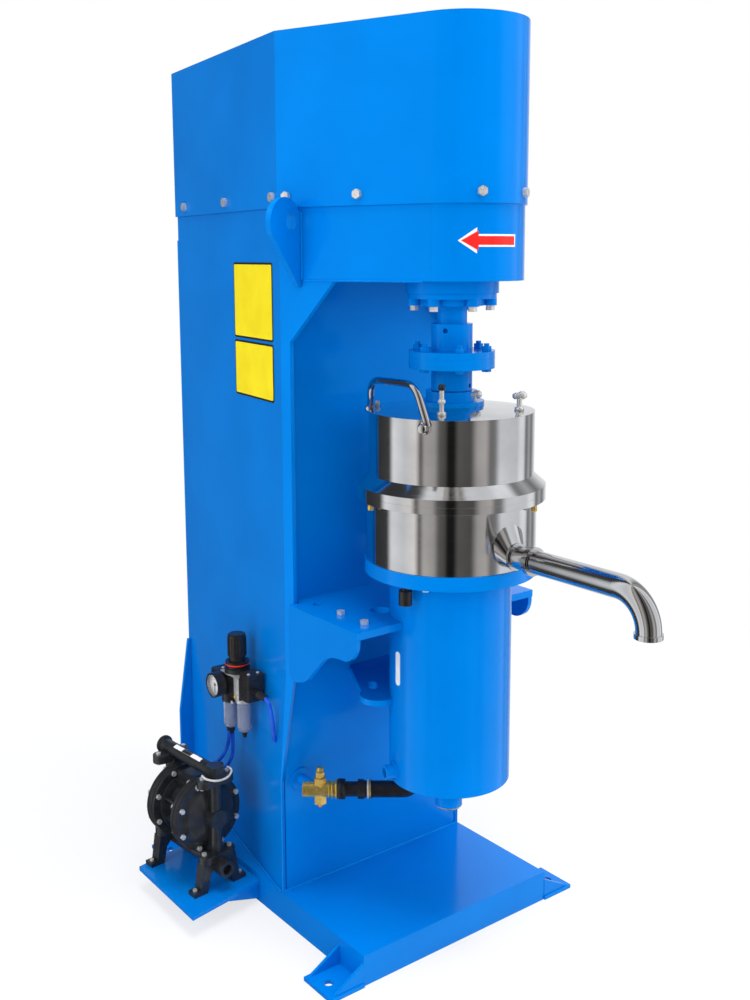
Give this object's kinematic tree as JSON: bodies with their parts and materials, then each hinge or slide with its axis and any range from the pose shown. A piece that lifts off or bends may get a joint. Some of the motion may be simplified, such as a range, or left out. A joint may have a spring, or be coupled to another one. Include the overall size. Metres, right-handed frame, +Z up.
{
  "type": "sand mill",
  "caption": "Vertical sand mill: a column with a belt-driven spindle over a water-jacketed vessel, a screen hood with an outlet pipe, an air regulator and a diaphragm feed pump.",
  "frame": {"origin": "centre of the floor bolt pattern, on the floor", "axes": "+X to the right seen from the outlet side, +Y from the outlet to the rear panel, +Z up"},
  "size_m": [0.732, 1.3106, 1.75],
  "materials": {
    "air_metal": "die cast",
    "bearing_steel": "ground",
    "belt_rubber": "matte",
    "black_fitting": "gloss",
    "black_plastic": "moulded",
    "blue_cover": "gloss enamel",
    "blue_paint": "gloss enamel",
    "bowl_plastic": "smoked",
    "brass": "polished",
    "bright_steel": "turned",
    "cast_grey": "as cast",
    "hose_rubber": "satin",
    "motor_paint": "satin",
    "needle_red": "matte",
    "pump_black": "cast and painted",
    "red_plastic": "gloss",
    "stainless": "polished",
    "steel_grey": "machined",
    "tube_blue": "gloss",
    "zinc": "zinc plated"
  },
  "bodies": {
    "frame": {"air_body": "air_metal", "air_tubes": "tube_blue", "base_frame": "blue_paint", "bearing_cap": "blue_paint", "bearing_housing": "blue_paint", "belt_cover": "blue_cover", "collecting_drum": "stainless", "cooling_jacket": "blue_paint", "cover_screws": "zinc", "drive_belts": "belt_rubber", "drive_head": "blue_paint", "feed_hose": "hose_rubber", "feed_valve": "brass", "filter_bowls": "bowl_plastic", "frame_bolts": "zinc", "front_plate": "blue_paint", "gauge_case": "black_plastic", "grinding_barrel": "steel_grey", "hood_flange": "stainless", "hood_handle": "stainless", "hood_screws": "brass", "hose_union": "black_fitting", "lid_studs": "zinc", "lifting_lugs": "blue_paint", "lock_ring": "red_plastic", "lower_bracket": "blue_paint", "lower_manifold": "pump_black", "motor_body": "motor_paint", "motor_plate": "blue_paint", "pump_bolts": "zinc", "pump_caps": "pump_black", "pump_centre": "pump_black", "pump_platform": "blue_paint", "rear_panel": "blue_paint", "screen_basket": "stainless", "screen_hood": "stainless", "seal_neck": "blue_paint", "side_plate_left": "blue_paint", "side_plate_right": "blue_paint", "spindle_bearings": "bearing_steel", "upper_manifold": "pump_black", "vent_cap": "black_fitting", "vessel_flange": "blue_paint", "vessel_shelf": "blue_paint"},
    "motor_drive": {"motor_rotor": "steel_grey", "motor_pulley": "cast_grey"},
    "spindle": {"spindle_shaft": "blue_paint", "spindle_pulley": "cast_grey", "upper_coupling": "blue_paint", "lower_coupling": "blue_paint", "coupling_bolts": "blue_paint", "mill_shaft": "bright_steel", "mill_discs": "steel_grey"},
    "outlet": {"outlet_pipe": "stainless"},
    "regulator_knob": {"regulator_knob": "black_plastic"},
    "gauge_needle": {"gauge_needle": "needle_red"},
    "valve_stem": {"valve_stem": "brass"},
    "drain_cock_front": {"drain_cock_front": "black_plastic"},
    "drain_cock_rear": {"drain_cock_rear": "black_plastic"},
    "pump_rod": {"pump_rod": "bright_steel"}
  },
  "joints": [
    {"name": "motor_spin", "type": "hinge", "parent": "frame", "child": "motor_drive", "pos_m": [0, 0.185, 1.2], "axis": [0, 0, 1], "continuous": true},
    {"name": "spindle_spin", "type": "hinge", "parent": "frame", "child": "spindle", "pos_m": [0, -0.315, 1.2], "axis": [0, 0, 1], "continuous": true},
    {"name": "outlet_swivel", "type": "hinge", "parent": "frame", "child": "outlet", "pos_m": [0, -0.533, 0.814], "axis": [0, 1, 0], "range_deg": [-90, 90]},
    {"name": "regulator_turn", "type": "hinge", "parent": "frame", "child": "regulator_knob", "pos_m": [-0.234, 0.091, 0.53], "axis": [0, 0, 1], "range_deg": [-180, 180]},
    {"name": "needle_turn", "type": "hinge", "parent": "frame", "child": "gauge_needle", "pos_m": [-0.276, 0.111, 0.458], "axis": [-1, 0, 0], "range_deg": [0, 270], "stiffness_Nm_per_rad": 0.001},
    {"name": "valve_turn", "type": "hinge", "parent": "frame", "child": "valve_stem", "pos_m": [-0.183, -0.135, 0.32], "axis": [0, 0, 1], "range_deg": [0, 90]},
    {"name": "front_drain_turn", "type": "hinge", "parent": "frame", "child": "drain_cock_front", "pos_m": [-0.234, 0.067, 0.35], "axis": [0, 0, 1], "range_deg": [0, 90]},
    {"name": "rear_drain_turn", "type": "hinge", "parent": "frame", "child": "drain_cock_rear", "pos_m": [-0.234, 0.123, 0.35], "axis": [0, 0, 1], "range_deg": [0, 90]},
    {"name": "pump_stroke", "type": "slide", "parent": "frame", "child": "pump_rod", "axis": [-0.0872, 0.9962, 0], "range_m": [-0.008, 0.008]}
  ],
  "couplings": [
    {"joint": "spindle_spin", "follows": "motor_spin", "ratio": 0.7335}
  ]
}
